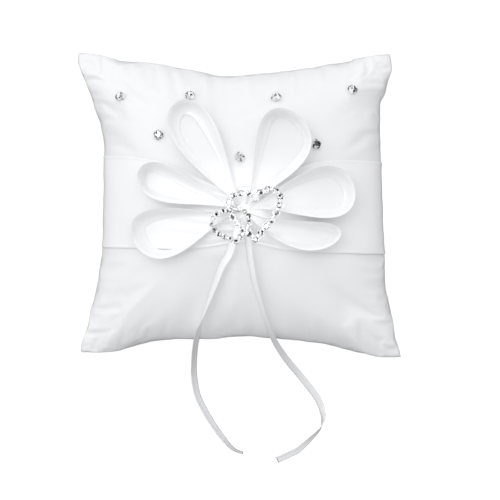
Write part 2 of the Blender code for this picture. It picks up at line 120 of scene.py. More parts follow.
# Sash: its half width, its tilt, how it is drawn in at the hub, and its pleats, hem and mound
SASH_SHARE = 0.40
SASH_GAP = 0.0006
SASH_HALF = 0.029
SASH_FALL = 0.024
SASH_PINCH_TOP = 0.0215
SASH_PINCH_BOTTOM = 0.005
SASH_REACH_LEFT = 0.040
SASH_REACH_RIGHT = 0.030
SASH_REACH_BOTTOM = 0.020
SASH_PLEAT = 0.0007
SASH_PLEATS = 6.5
SASH_PLEAT_REACH = 0.026
SASH_HEM = 0.00016
SASH_HEM_INSET = 0.0009
SASH_HEM_WIDTH = 0.0007
SASH_STEPS = (201, 97)
SASH_END = 0.994
MOUND_HEIGHT = 0.0030
MOUND_REACH = (0.024, 0.011)

# Bow
KNOT_LOW, KNOT_HIGH = (np.array(corner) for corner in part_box("bow_knot"))
HUB = (KNOT_LOW + KNOT_HIGH) / 2
KNOT_SPREAD = 0.0155
KNOT_SHIFT = (0.0035, -0.001)
KNOT_PLEAT = 0.00030
KNOT_STEPS = (180, 34)
KNOT_ROUNDNESS = 2.2
KNOT_SINK = 0.0012
KNOT_TOP_GAP = 0.0002

# Each loop: bearing from the hub in degrees, length, breadth, pointedness of the root,
# sideways drift of the tip, and sideways belly of the middle
LOOPS = {
    "upper_left": (120.5, 0.078, 0.0275, 1.9, 0.001, 0.004),
    "upper_right": (58.5, 0.0675, 0.0350, 2.2, 0.0045, -0.006),
    "mid_left": (167.5, 0.068, 0.0225, 2.6, -0.008, -0.008),
    "lower_left": (-152.0, 0.0685, 0.0320, 2.3, -0.0145, -0.018),
    "mid_right": (8.5, 0.070, 0.0320, 2.2, 0.0025, 0.012),
    "lower_right": (-20.0, 0.0615, 0.0184, 1.8, 0.006, -0.018),
}
# How far each loop's ribbon leans outwards at seven even steps along it
LOOP_LEANS = {
    "upper_left": (0.0030, 0.0038, 0.0052, 0.0070, 0.0072, 0.0050, 0.0035),
    "upper_right": (0.0035, 0.0050, 0.0046, 0.0030, 0.0042, 0.0045, 0.0035),
    "mid_left": (0.0025, 0.0028, 0.0030, 0.0040, 0.0055, 0.0050, 0.0035),
    "lower_left": (0.0025, 0.0030, 0.0040, 0.0072, 0.0055, 0.0045, 0.0035),
    "mid_right": (0.0035, 0.0040, 0.0048, 0.0056, 0.0050, 0.0040, 0.0030),
    "lower_right": (0.0025, 0.0028, 0.0034, 0.0040, 0.0026, 0.0022, 0.0020),
}
LOOP_STEPS = (161, 21)
LOOP_WIDTH = 0.0106
LOOP_ROOT_WIDTH = 0.0044
LOOP_RISE_REACH = 0.047
LOOP_LIP = 0.0014
LOOP_SLUMP = 0.96
LOOP_ROOT_REACH = 0.0045
LOOP_LIP_START = 0.82
LOOP_LIP_BAND = 0.18
LOOP_FLUTTER = 0.0004
LOOP_PLEAT = 0.0006
LOOP_PLEAT_REACH = 0.012
FOOT_GAP = 0.0003
FOOT_PLEAT = 0.0009

# Hearts: centre, width, slant, turn in degrees, and the heights of four waves as shares of the width
LARGE_HEART = ((0.0102, -0.0048), 0.0315, 0.125, 1.0, (0.456, 0.164, 0.066, -0.003))
SMALL_HEART = ((-0.0041, -0.0128), 0.0229, -0.05, 15.0, (0.464, 0.074, 0.054, 0.008))

LARGE_STONE_RADIUS = 0.00195
LARGE_RAIL_WIDTH = 0.0030
SMALL_STONE_RADIUS = 0.00160
SMALL_RAIL_WIDTH = 0.0025
SCATTER_STONE_RADIUS = 0.0031
# The rail's steps along half a heart and its share of the bar's width; how far the cups sink into it
# and the scattered stones stand off the cover; and the most that a stone tips, as a slope
HEART_STEPS = 60
RAIL_SHARE = 0.8
CUP_SINK = 0.0002
SCATTER_GAP = 0.0002
HEART_STONE_TIP = 0.12
SCATTER_STONE_TIP = 0.1

# Stage
AMBIENT = 0.82
LIGHT_AIM_HEIGHT = 0.03
FLOOR_HALF = 3.0
CAMERA_PLACE = (0.0073, -0.0286, SEAM_HEIGHT + 0.9)
CAMERA_LENS = 102.0

# Ribbon tails: the same routes as the frame's, from the knot to the resting plane
TAIL_WIDTH = 0.0048
TAIL_STEPS = 181
TAIL_FLOOR_GAP = 0.0003
TAIL_SLANT = 0.0022
TAIL_CUPPING = 0.00025
# The groove in which each tail lies: depth, reach to each side, where it starts and over what
# length it deepens, and how close above the seam it fades
TAIL_GROOVE = 0.0016
TAIL_GROOVE_REACH = 0.012
TAIL_GROOVE_START = -0.028
TAIL_GROOVE_DEEPENS = 0.010
TAIL_GROOVE_FADES = 0.008
TAIL_LEFT_ROUTE = (
    (0.0005, -0.0145, 0.0602),
    (-0.0014, -0.0205, 0.0600),
    (-0.0036, -0.0265, 0.0591),
    (-0.0056, -0.0316, 0.0581),
    (-0.0098, -0.0385, 0.0566),
    (-0.0134, -0.0475, 0.0546),
    (-0.0179, -0.0594, 0.0509),
    (-0.0224, -0.0715, 0.0454),
    (-0.0255, -0.0812, 0.0378),
    (-0.0275, -0.0908, 0.0265),
    (-0.0286, -0.1005, 0.0160),
    (-0.0288, -0.1110, 0.0080),
    (-0.0262, -0.1250, 0.0025),
    (-0.0176, -0.1410, 0.0008),
    (-0.0085, -0.1535, 0.0006),
    (-0.0026, -0.1590, 0.0006),
    (0.0036, -0.1612, 0.0006),
)
TAIL_RIGHT_ROUTE = (
    (0.0058, -0.0145, 0.0602),
    (0.0062, -0.0205, 0.0600),
    (0.0066, -0.0265, 0.0591),
    (0.0072, -0.0316, 0.0581),
    (0.0083, -0.0380, 0.0566),
    (0.0099, -0.0473, 0.0546),
    (0.0131, -0.0592, 0.0509),
    (0.0168, -0.0716, 0.0454),
    (0.0206, -0.0812, 0.0382),
    (0.0257, -0.0910, 0.0262),
    (0.0325, -0.1010, 0.0155),
    (0.0410, -0.1115, 0.0075),
    (0.0514, -0.1255, 0.0025),
    (0.0549, -0.1355, 0.0012),
    (0.0545, -0.1410, 0.0010),
    (0.0522, -0.1462, 0.0008),
    (0.0400, -0.1580, 0.0006),
    (0.0338, -0.1616, 0.0006),
    (0.0240, -0.1660, 0.0006),
)
# Roll of each tail in degrees at each of its route's points: 0 lies flat, 90 stands on its edge
TAIL_LEFT_ROLL = (0, -3, -8, -14, -30, -40, -60, -90, -128, -133, -135, -142, -142, -138, -126, -110, -98)
TAIL_RIGHT_ROLL = (
    -30, -35, -42, -48, -48, -50, -56, -58, -50, -38, -30, -28, -30, -48, -76, -112, -146, -150, -152,
)


# ---------------------------------------------------------------- arrays and meshes


def unit(vectors):
    """Vectors scaled to length one."""
    return vectors / np.maximum(np.linalg.norm(vectors, axis=-1, keepdims=True), 1e-12)


def smoothstep(x):
    """Rise from 0 to 1 as x goes from 0 to 1, flat at both ends."""
    x = np.clip(x, 0.0, 1.0)
    return x * x * (3.0 - 2.0 * x)


def ripple(s, waves):
    """Sum of sines of s: each wave is its height, its count over a length of one, and its phase."""
    return sum(height * np.sin(2 * math.pi * count * s + phase) for height, count, phase in waves)


def grid_quads(rows, columns, wrap_rows=False, wrap_columns=False):
    """Quads of a grid of points held row by row, with either direction closed on itself."""
    row = np.arange(rows if wrap_rows else rows - 1)[:, None]
    column = np.arange(columns if wrap_columns else columns - 1)[None, :]
    next_row = (row + 1) % rows
    next_column = (column + 1) % columns
    corners = [
        row * columns + column,
        row * columns + next_column,
        next_row * columns + next_column,
        next_row * columns + column,
    ]
    return np.stack([corner + 0 * (row + column) for corner in corners], axis=-1).reshape(-1, 4)


def put_piece(name, points, faces, material, uv=None, smooth=True):
    """A named object at the origin from points, faces and, where given, a UV for each point."""
    mesh = bpy.data.meshes.new(name)
    mesh.from_pydata(points.reshape(-1, 3).tolist(), [], faces if isinstance(faces, list) else faces.tolist())
    mesh.update()
    if uv is not None:
        corner_points = np.empty(len(mesh.loops), dtype=np.int32)
        mesh.loops.foreach_get("vertex_index", corner_points)
        layer = mesh.uv_layers.new(name="cloth")
        layer.data.foreach_set("uv", uv.reshape(-1, 2)[corner_points].astype(np.float32).ravel())
    mesh.materials.append(material)
    piece = bpy.data.objects.new(name, mesh)
    bpy.context.scene.collection.objects.link(piece)
    if smooth:
        mesh.shade_smooth()
    else:
        mesh.shade_flat()
    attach(piece, "root")
    return piece


def thicken(piece, thickness):
    """Give a single-surface piece a wall, half of it on each side."""
    wall = piece.modifiers.new("cloth_wall", "SOLIDIFY")
    wall.thickness = thickness
    wall.offset = 0.0


def read_points(piece):
    """All points of a piece's mesh as an array."""
    points = np.empty(len(piece.data.vertices) * 3, dtype=np.float64)
    piece.data.vertices.foreach_get("co", points)
    return points.reshape(-1, 3)


def even_points(line, count):
    """Points at equal steps along a polyline, both ends included."""
    run = np.concatenate([[0.0], np.cumsum(np.linalg.norm(np.diff(line, axis=0), axis=1))])
    wanted = np.linspace(0.0, run[-1], count)
    return np.stack([np.interp(wanted, run, line[:, axis]) for axis in range(line.shape[1])], axis=-1)


def line_length(line):
    """Length of a polyline."""
    return float(np.linalg.norm(np.diff(line, axis=0), axis=1).sum())


def smooth_route(route, count):
    """Evenly spaced points on a smooth curve through a route's points (a Catmull-Rom spline)."""
    points = np.array(route, dtype=float)
    before = np.vstack([2 * points[0] - points[1], points[:-2]])
    start = points[:-1]
    end = points[1:]
    after = np.vstack([points[2:], 2 * points[-1] - points[-2]])
    t = np.linspace(0.0, 1.0, 16, endpoint=False)[None, :, None]
    before, start, end, after = (part[:, None, :] for part in (before, start, end, after))
    curve = 0.5 * (
        2 * start
        + (end - before) * t
        + (2 * before - 5 * start + 4 * end - after) * t ** 2
        + (3 * start - before - 3 * end + after) * t ** 3
    )
    return even_points(np.vstack([curve.reshape(-1, points.shape[1]), points[-1:]]), count)


# ---------------------------------------------------------------- cushion surface


def crown(u, v):
    """Share of the full rise: the product of both edge distances, raised to the crown power."""
    return np.maximum((1.0 - u * u) * (1.0 - v * v), 0.0) ** CROWN_POWER


def seam_side(route, share):
    """Places along one side of the seam, at shares of its length."""
    line = smooth_route([(x, y, 0.0) for x, y in route], 400)
    even = np.linspace(0.0, 1.0, len(line))
    return np.stack([np.interp(share, even, line[:, axis]) for axis in (0, 1)], axis=-1)


def plan(u, v):
    """Place seen from above, as a Coons patch: both pairs of facing sides are blended straight
    across, their two sheets are added, and the straight blend of the four corners is taken off."""
    right = ((u + 1) / 2)[..., None]
    up = ((v + 1) / 2)[..., None]
    across = seam_side(SEAM_LEFT, up[..., 0]) * (1 - right) + seam_side(SEAM_RIGHT, up[..., 0]) * right
    upright = seam_side(SEAM_BOTTOM, right[..., 0]) * (1 - up) + seam_side(SEAM_TOP, right[..., 0]) * up
    corners = (np.array(SEAM_BOTTOM[0]) * (1 - right) + np.array(SEAM_BOTTOM[-1]) * right) * (1 - up)
    corners = corners + (np.array(SEAM_TOP[0]) * (1 - right) + np.array(SEAM_TOP[-1]) * right) * up
    place = across + upright - corners
    return place[..., 0], place[..., 1]


def cover_steps():
    """Panel coordinates of the cover's grid lines, a little closer together at the seams."""
    even = np.linspace(-1.0, 1.0, COVER_CELLS + 1)
    return 0.5 * even + 0.5 * np.sin(even * math.pi / 2)


def seam_distance(u, v):
    """Distance to the nearest seam, in metres, and the place along that seam from -1 to 1."""
    across = (1.0 - np.abs(u)) * HALF_WIDTH
    upright = (1.0 - np.abs(v)) * HALF_LENGTH
    along = np.where(across < upright, v + 2.3 * np.sign(u), u + 5.1 * np.sign(v))
    return np.minimum(across, upright), along


def puckers(u, v, side):
    """Height of the seam puckers: waves along the seam, highest at the puckers' reach from it and
    fading further in, and pulled flat under the sash."""
    distance, along = seam_distance(u, v)
    waves = ((0.5, 4.3, 0.4), (0.7, 7.1, 1.9), (0.6, 11.3, 4.0), (0.35, 17.9, 2.2))
    wave = ripple(along + 0.37 * side, waves)
    share = distance / PUCKER_REACH
    free = (1 - np.exp(-(v / SASH_SHARE) ** 8)) * (1 - 0.5 * np.maximum(np.abs(u), np.abs(v)) ** 30)
    return PUCKER_HEIGHT * wave * share * np.exp(1.0 - share) * free


def corner_drags(u, v):
    """Soft folds that run from each corner towards the middle and fade halfway."""
    turn = np.arctan2(np.abs(v), np.abs(u)) - math.pi / 4
    reach = np.minimum(np.abs(u), np.abs(v))
    fade = smoothstep((reach - 0.45) / 0.4) * (1 - smoothstep((reach - 0.86) / 0.14))
    return DRAG_HEIGHT * np.cos(turn * 16) * fade


def tail_nearness(points):
    """How near each point is to a tail's route, seen from above: 1 on it, fading to its sides."""
    route = np.concatenate([smooth_route(TAIL_LEFT_ROUTE, 60), smooth_route(TAIL_RIGHT_ROUTE, 60)])
    away = np.linalg.norm(points[:, None, :2] - route[None, :, :2], axis=2).min(axis=1)
    return np.exp(-(away / TAIL_GROOVE_REACH) ** 2)


def tail_grooves(front):
    """Depth of the shallow grooves in which the tails lie, below the sash and fading at the seam."""
    near = tail_nearness(front.reshape(-1, 3)).reshape(front.shape[:2])
    below = smoothstep((TAIL_GROOVE_START - front[..., 1]) / TAIL_GROOVE_DEEPENS)
    inside = smoothstep((front[..., 2] - SEAM_HEIGHT) / TAIL_GROOVE_FADES)
    return TAIL_GROOVE * near * below * inside


def cover_grids(steps):
    """Front and back surface of the cover, whose borders are one line of points."""
    u, v = np.meshgrid(steps, steps, indexing="ij")
    x, y = plan(u, v)
    distance, along = seam_distance(u, v)
    wobble = ripple(along, ((0.5, 3.1, 1.0), (0.35, 6.7, 0.3), (0.2, 12.9, 2.0)))
    edge = np.exp(-distance / SEAM_WOBBLE_REACH)
    x = x + SEAM_WOBBLE[0] * wobble * edge * np.where(np.abs(u) > np.abs(v), 1, 0)
    y = y + SEAM_WOBBLE[1] * wobble * edge * np.where(np.abs(v) >= np.abs(u), 1, 0)
    rise = FRONT_RISE * crown(u, v)
    front = np.stack([x, y, SEAM_HEIGHT + rise + puckers(u, v, 0) + corner_drags(u, v)], axis=-1)
    front[..., 2] -= tail_grooves(front)
    depth = BACK_SWELL * crown(u, v) + puckers(u, v, 1) + corner_drags(u, v)
    flat = SEAM_HEIGHT - BACK_FLOOR_GAP
    soft = depth - 0.5 * (np.sqrt((depth - flat) ** 2 + 0.0008 ** 2) + (depth - flat))
    soft = np.minimum(soft, flat)
    back = np.stack([x, y, SEAM_HEIGHT - soft], axis=-1)
    front[[0, -1], :, 2] = SEAM_HEIGHT
    front[:, [0, -1], 2] = SEAM_HEIGHT
    return front, back


def cover_indices(count):
    """Point numbers of the front and of the back, which share the border's."""
    front = np.arange(count * count).reshape(count, count)
    back = front.copy()
    inner = (count - 2) ** 2
    back[1:-1, 1:-1] = count * count + np.arange(inner).reshape(count - 2, count - 2)
    return front, back


def index_quads(index):
    """Quads of a grid of point numbers."""
    corners = [index[:-1, :-1], index[1:, :-1], index[1:, 1:], index[:-1, 1:]]
    return np.stack(corners, axis=-1).reshape(-1, 4)


def settle_cloth(piece, border, growth):
    """Let the cover billow: its seam is held, its cloth is a little too large, air presses out."""
    scene = bpy.context.scene
    start = read_points(piece)
    held = piece.vertex_groups.new(name="seam")
    held.add(border.tolist(), 1.0, "REPLACE")
    modifier = piece.modifiers.new("billow", "CLOTH")
    cloth = modifier.settings
    cloth.quality = 5
    cloth.mass = 0.12
    cloth.tension_stiffness = 18
    cloth.compression_stiffness = 18
    cloth.shear_stiffness = 6
    cloth.bending_stiffness = 1.2
    cloth.vertex_group_mass = "seam"
    cloth.shrink_min = -growth
    cloth.use_pressure = True
    cloth.uniform_pressure_force = CLOTH_PRESSURE
    cloth.effector_weights.gravity = 0.0
    modifier.collision_settings.use_collision = False
    modifier.point_cache.frame_start = 1
    modifier.point_cache.frame_end = CLOTH_FRAMES
    for number in range(1, CLOTH_FRAMES + 1):
        scene.frame_set(number)
    settled = piece.evaluated_get(bpy.context.evaluated_depsgraph_get())
    result = read_points(settled)
    piece.modifiers.remove(modifier)
    scene.frame_set(1)
    return start, result


def limit_move(start, result, cap):
    """Cap how far each point has moved, smoothly, so that no fold stands further than the cap."""
    move = result - start
    length = np.linalg.norm(move, axis=1, keepdims=True)
    return start + move * (cap * np.tanh(length / cap) / np.maximum(length, 1e-9))


class CoverSurface:
    """The finished front of the cover, read at any panel coordinate or any place from above."""

    def __init__(self, piece):
        count = COVER_CELLS + 1
        self.steps = cover_steps()
        self.points = read_points(piece)[: count * count].reshape(count, count, 3)
        along_u = np.gradient(self.points, axis=0)
        along_v = np.gradient(self.points, axis=1)
        self.normals = unit(np.cross(along_u, along_v))

    def read(self, field, u, v):
        """Bilinear reading of a grid of vectors."""
        last = len(self.steps) - 1
        row = np.interp(u, self.steps, np.arange(last + 1))
        column = np.interp(v, self.steps, np.arange(last + 1))
        i = np.clip(row.astype(int), 0, last - 1)
        j = np.clip(column.astype(int), 0, last - 1)
        s = (row - i)[..., None]
        t = (column - j)[..., None]
        low = field[i, j] * (1 - s) + field[i + 1, j] * s
        high = field[i, j + 1] * (1 - s) + field[i + 1, j + 1] * s
        return low * (1 - t) + high * t

    def point(self, u, v):
        """Point of the cover at panel coordinates."""
        return self.read(self.points, u, v)

    def normal(self, u, v):
        """Outward direction of the cover at panel coordinates."""
        return unit(self.read(self.normals, u, v))

    def locate(self, x, y):
        """Panel coordinates of a place seen from above, by repeated correction."""
        u = np.clip(x / (HALF_WIDTH * 0.9), -0.99, 0.99)
        v = np.clip(y / (HALF_LENGTH * 0.9), -0.99, 0.99)
        for _ in range(40):
            here = self.point(u, v)
            u = np.clip(u + 0.8 * (x - here[..., 0]) / HALF_WIDTH, -0.995, 0.995)
            v = np.clip(v + 0.8 * (y - here[..., 1]) / HALF_LENGTH, -0.995, 0.995)
        return u, v

    def height(self, x, y):
        """Height of the cover at a place seen from above."""
        return self.point(*self.locate(x, y))[..., 2]


def cover_surface():
    """The finished cover's front."""
    return CoverSurface(bpy.data.objects["cushion_cover"])


def sash_edges(x):
    """Lower and upper edge of the sash: straight, tilted, drawn in towards the hub."""
    tilt = -SASH_FALL * x
    away = x - HUB[0]
    top = np.exp(-(away / np.where(away < 0, SASH_REACH_LEFT, SASH_REACH_RIGHT)) ** 2)
    bottom = np.exp(-(away / SASH_REACH_BOTTOM) ** 2)
    return tilt - SASH_HALF + SASH_PINCH_BOTTOM * bottom, tilt + SASH_HALF - SASH_PINCH_TOP * top


def hub_mound(x, y):
    """Height of the gathered cloth under the knot: a bell-shaped mound, longest along the sash."""
    across, along = (x - HUB[0]) / MOUND_REACH[0], (y - HUB[1]) / MOUND_REACH[1]
    return MOUND_HEIGHT * np.exp(-across ** 2 - along ** 2)


def sash_lift(x, y):
    """Height of the sash over the cover: its gap, its cloth, and its pleats near the hub."""
    low, high = sash_edges(x)
    share = (y - low) / (high - low)
    near = np.exp(-((x - HUB[0]) / SASH_PLEAT_REACH) ** 2)
    pleats = SASH_PLEAT * near * (1 + np.cos(2 * math.pi * (SASH_PLEATS * share + 0.3)))
    edge = 1 - np.abs(2 * share - 1) ** 6
    inset = np.minimum(y - low, high - y)
    hem = SASH_HEM * np.exp(-((inset - SASH_HEM_INSET) / SASH_HEM_WIDTH) ** 2)
    return SASH_GAP + hem + edge * (pleats + hub_mound(x, y))


def seat_height(surface, x, y):
    """Height on which a ribbon's foot rests: the cover, or the sash where that lies."""
    low, high = sash_edges(x)
    outside = np.maximum(low - y, y - high)
    share = 1.0 - smoothstep((outside - 0.001) / 0.003)
    cloth = SASH_GAP + FOOT_PLEAT * np.exp(-((x - HUB[0]) / SASH_PLEAT_REACH) ** 2) + hub_mound(x, y)
    return surface.height(x, y) + FOOT_GAP + share * cloth


# ---------------------------------------------------------------- shader groups and materials


def new_group(name, inputs, outputs):
    """An empty shader node group with named inputs and outputs."""
    group = bpy.data.node_groups.new(name, "ShaderNodeTree")
    for socket, kind, value in inputs:
        entry = group.interface.new_socket(socket, in_out="INPUT", socket_type=kind)
        if value is not None:
            entry.default_value = value
    for socket, kind in outputs:
        group.interface.new_socket(socket, in_out="OUTPUT", socket_type=kind)
    source = group.nodes.new("NodeGroupInput")
    sink = group.nodes.new("NodeGroupOutput")
    return group, source, sink


def math_node(tree, operation, first, second=None):
    """A Math node fed by sockets or plain numbers; its result socket is returned."""
    node = tree.nodes.new("ShaderNodeMath")
    node.operation = operation
    for slot, value in zip(node.inputs, (first, second)):
        if value is None:
            continue
        if isinstance(value, (int, float)):
            slot.default_value = value
        else:
            tree.links.new(value, slot)
    return node.outputs[0]


def satin_group():
    """Satin: long floats of thread that catch the light, with fine slubs and soft cloudy tone.

    Two crossed wave patterns make the weave, a stretched noise makes the slubs, and a broad
    noise varies tone and gloss. It puts out a tone, a roughness and a height.
    """
    found = bpy.data.node_groups.get("satin_weave")
    if found:
        return found
    group, source, sink = new_group(
        "satin_weave",
        (
            ("Vector", "NodeSocketVector", None),
            ("Threads", "NodeSocketFloat", 2600.0),
            ("Tone", "NodeSocketColor", (0.9, 0.9, 0.92, 1)),
            ("Shade Tone", "NodeSocketColor", (0.82, 0.83, 0.87, 1)),
            ("Roughness", "NodeSocketFloat", 0.36),
        ),
        (("Color", "NodeSocketColor"), ("Roughness", "NodeSocketFloat"), ("Height", "NodeSocketFloat")),
    )
    nodes, links = group.nodes, group.links
    weave = []
    for direction in ("X", "Y"):
        wave = nodes.new("ShaderNodeTexWave")
        wave.wave_type = "BANDS"
        wave.bands_direction = direction
        wave.inputs["Distortion"].default_value = 1.2
        wave.inputs["Detail"].default_value = 1.0
        links.new(source.outputs["Vector"], wave.inputs["Vector"])
        links.new(source.outputs["Threads"], wave.inputs["Scale"])
        weave.append(wave.outputs["Fac"])
    stretch = nodes.new("ShaderNodeMapping")
    stretch.inputs["Scale"].default_value = (90.0, 1400.0, 90.0)
    links.new(source.outputs["Vector"], stretch.inputs["Vector"])
    slub = nodes.new("ShaderNodeTexNoise")
    slub.inputs["Scale"].default_value = 1.0
    slub.inputs["Detail"].default_value = 3.0
    links.new(stretch.outputs["Vector"], slub.inputs["Vector"])
    cloud = nodes.new("ShaderNodeTexNoise")
    cloud.inputs["Scale"].default_value = 38.0
    cloud.inputs["Detail"].default_value = 4.0
    links.new(source.outputs["Vector"], cloud.inputs["Vector"])
    mix = nodes.new("ShaderNodeMix")
    mix.data_type = "RGBA"
    tone_share = math_node(group, "MULTIPLY", slub.outputs["Fac"], 0.32)
    tone_share = math_node(group, "ADD", tone_share, math_node(group, "MULTIPLY", cloud.outputs["Fac"], 0.2))
    links.new(tone_share, mix.inputs["Factor"])
    links.new(source.outputs["Tone"], mix.inputs["A"])
    links.new(source.outputs["Shade Tone"], mix.inputs["B"])
    links.new(mix.outputs["Result"], sink.inputs["Color"])
    spread = math_node(group, "MULTIPLY", math_node(group, "SUBTRACT", slub.outputs["Fac"], 0.5), 0.18)
    links.new(math_node(group, "ADD", source.outputs["Roughness"], spread), sink.inputs["Roughness"])
    threads = math_node(group, "MULTIPLY", weave[0], 0.35)
    threads = math_node(group, "ADD", threads, math_node(group, "MULTIPLY", weave[1], 0.65))
    height = math_node(group, "ADD", math_node(group, "MULTIPLY", threads, 0.4), slub.outputs["Fac"])
    links.new(height, sink.inputs["Height"])
    return group


def new_material(name):
    """A material, its node tree and its Principled shader."""
    material = bpy.data.materials.new(name)
    material.use_nodes = True
    return material, material.node_tree, material.node_tree.nodes["Principled BSDF"]


def satin_material(name, tone, shade, roughness, threads, gloss, coordinates="Object"):
    """White satin: the weave group feeds colour, roughness and bump of one Principled shader.

    Gloss is the strength of the surface reflection.
    """
    found = bpy.data.materials.get(name)
    if found:
        return found
    material, tree, shader = new_material(name)
    shader.inputs["Sheen Weight"].default_value = 0.15
    shader.inputs["Sheen Roughness"].default_value = 0.35
    shader.inputs["Specular IOR Level"].default_value = gloss
    place = tree.nodes.new("ShaderNodeTexCoord")
    weave = tree.nodes.new("ShaderNodeGroup")
    weave.node_tree = satin_group()
    weave.inputs["Threads"].default_value = threads
    weave.inputs["Tone"].default_value = (*tone, 1)
    weave.inputs["Shade Tone"].default_value = (*shade, 1)
    weave.inputs["Roughness"].default_value = roughness
    tree.links.new(place.outputs[coordinates], weave.inputs["Vector"])
    relief = tree.nodes.new("ShaderNodeBump")
    relief.inputs["Strength"].default_value = 0.3
    relief.inputs["Distance"].default_value = 0.00008
    tree.links.new(weave.outputs["Height"], relief.inputs["Height"])
    tree.links.new(weave.outputs["Color"], shader.inputs["Base Color"])
    tree.links.new(weave.outputs["Roughness"], shader.inputs["Roughness"])
    tree.links.new(relief.outputs["Normal"], shader.inputs["Normal"])
    return material


def silver_material():
    """Bright silver plate, a little brushed, its tone and dullness varying at random in fine specks."""
    found = bpy.data.materials.get("silver_plate")
    if found:
        return found
    material, tree, shader = new_material("silver_plate")
    shader.inputs["Metallic"].default_value = 1.0
    place = tree.nodes.new("ShaderNodeTexCoord")
    noise = tree.nodes.new("ShaderNodeTexNoise")
    noise.inputs["Scale"].default_value = 900.0
    noise.inputs["Detail"].default_value = 3.0
    tree.links.new(place.outputs["Object"], noise.inputs["Vector"])
    tones = tree.nodes.new("ShaderNodeValToRGB")
    tones.color_ramp.elements[0].color = (0.74, 0.73, 0.71, 1)
    tones.color_ramp.elements[1].color = (0.97, 0.97, 0.96, 1)
    tones.color_ramp.elements[0].position = 0.3
    tones.color_ramp.elements[1].position = 0.6
    tree.links.new(noise.outputs["Fac"], tones.inputs["Fac"])
    tree.links.new(tones.outputs["Color"], shader.inputs["Base Color"])
    rough = math_node(tree, "ADD", math_node(tree, "MULTIPLY", noise.outputs["Fac"], 0.2), 0.16)
    tree.links.new(rough, shader.inputs["Roughness"])
    return material


def crystal_material():
    """Foil-backed glass: a mirror-bright faceted stone, its colour painted near black in random patches as
    painted dark reflections.
    """
    found = bpy.data.materials.get("foiled_crystal")
    if found:
        return found
    material, tree, shader = new_material("foiled_crystal")
    shader.inputs["Metallic"].default_value = 0.9
    shader.inputs["Coat Weight"].default_value = 1.0
    shader.inputs["Coat Roughness"].default_value = 0.02
    place = tree.nodes.new("ShaderNodeTexCoord")
    # Painted dark reflections: random cells of the stone's colour go near black, in place of facets that
    # mirror dark surroundings
    painted_reflection_cells = tree.nodes.new("ShaderNodeTexVoronoi")
    painted_reflection_cells.inputs["Scale"].default_value = 750.0
    tree.links.new(place.outputs["Object"], painted_reflection_cells.inputs["Vector"])
    tones = tree.nodes.new("ShaderNodeValToRGB")
    # The near-black end of this ramp is the painted dark reflection; the bright end is the stone's
    # mirror-bright foil
    tones.color_ramp.elements[0].color = (0.05, 0.05, 0.055, 1)
    tones.color_ramp.elements[1].color = (0.98, 0.98, 0.99, 1)
    tones.color_ramp.elements[0].position = 0.14
    tones.color_ramp.elements[1].position = 0.30
    separate = tree.nodes.new("ShaderNodeSeparateColor")
    tree.links.new(painted_reflection_cells.outputs["Color"], separate.inputs["Color"])
    tree.links.new(separate.outputs[0], tones.inputs["Fac"])
    tree.links.new(tones.outputs["Color"], shader.inputs["Base Color"])
    shader.inputs["Roughness"].default_value = 0.05
    return material


def cover_material():
    """The cushion's satin: softly shining."""
    tone = tuple(bpy.context.scene.ring_pillow.satin)
    return satin_material("cover_satin", tone, (0.86, 0.865, 0.88), 0.45, 900.0, 0.45)


def sash_material():
    """The sash's satin: a shade greyer, with a clear shine where it faces a light."""
    tone = tuple(bpy.context.scene.ring_pillow.sash)
    return satin_material("sash_satin", tone, (0.71, 0.715, 0.73), 0.29, 1300.0, 0.9, "UV")


def ribbon_material():
    """The ribbon's satin: the whitest cloth, with a clear shine."""
    tone = tuple(bpy.context.scene.ring_pillow.ribbon)
    return satin_material("ribbon_satin", tone, (0.905, 0.907, 0.915), 0.32, 1300.0, 0.6, "UV")


# ---------------------------------------------------------------- settings


class RINGPILLOW_PG_settings(bpy.types.PropertyGroup):
    """Sizes and colours that a user would change."""

    satin: bpy.props.FloatVectorProperty(
        name="Cover colour", description="Colour of the cushion's satin",
        subtype="COLOR", size=3, min=0, max=1, default=(0.92, 0.92, 0.926),
    )
    ribbon: bpy.props.FloatVectorProperty(
        name="Ribbon colour", description="Colour of the bow, its knot and the tails",
        subtype="COLOR", size=3, min=0, max=1, default=(0.965, 0.965, 0.97),
    )
    sash: bpy.props.FloatVectorProperty(
        name="Sash colour", description="Colour of the wide band across the front",
        subtype="COLOR", size=3, min=0, max=1, default=(0.765, 0.765, 0.775),
    )
    growth: bpy.props.FloatProperty(
        name="Cloth ease", description="Share by which the cover's cloth is larger than its filling",
        min=0, max=0.2, default=0.012,
    )
    cap: bpy.props.FloatProperty(
        name="Billow limit", description="Furthest that the cover's cloth may move as it settles",
        unit="LENGTH", min=0, max=0.02, default=0.0018,
    )


# ---------------------------------------------------------------- cushion


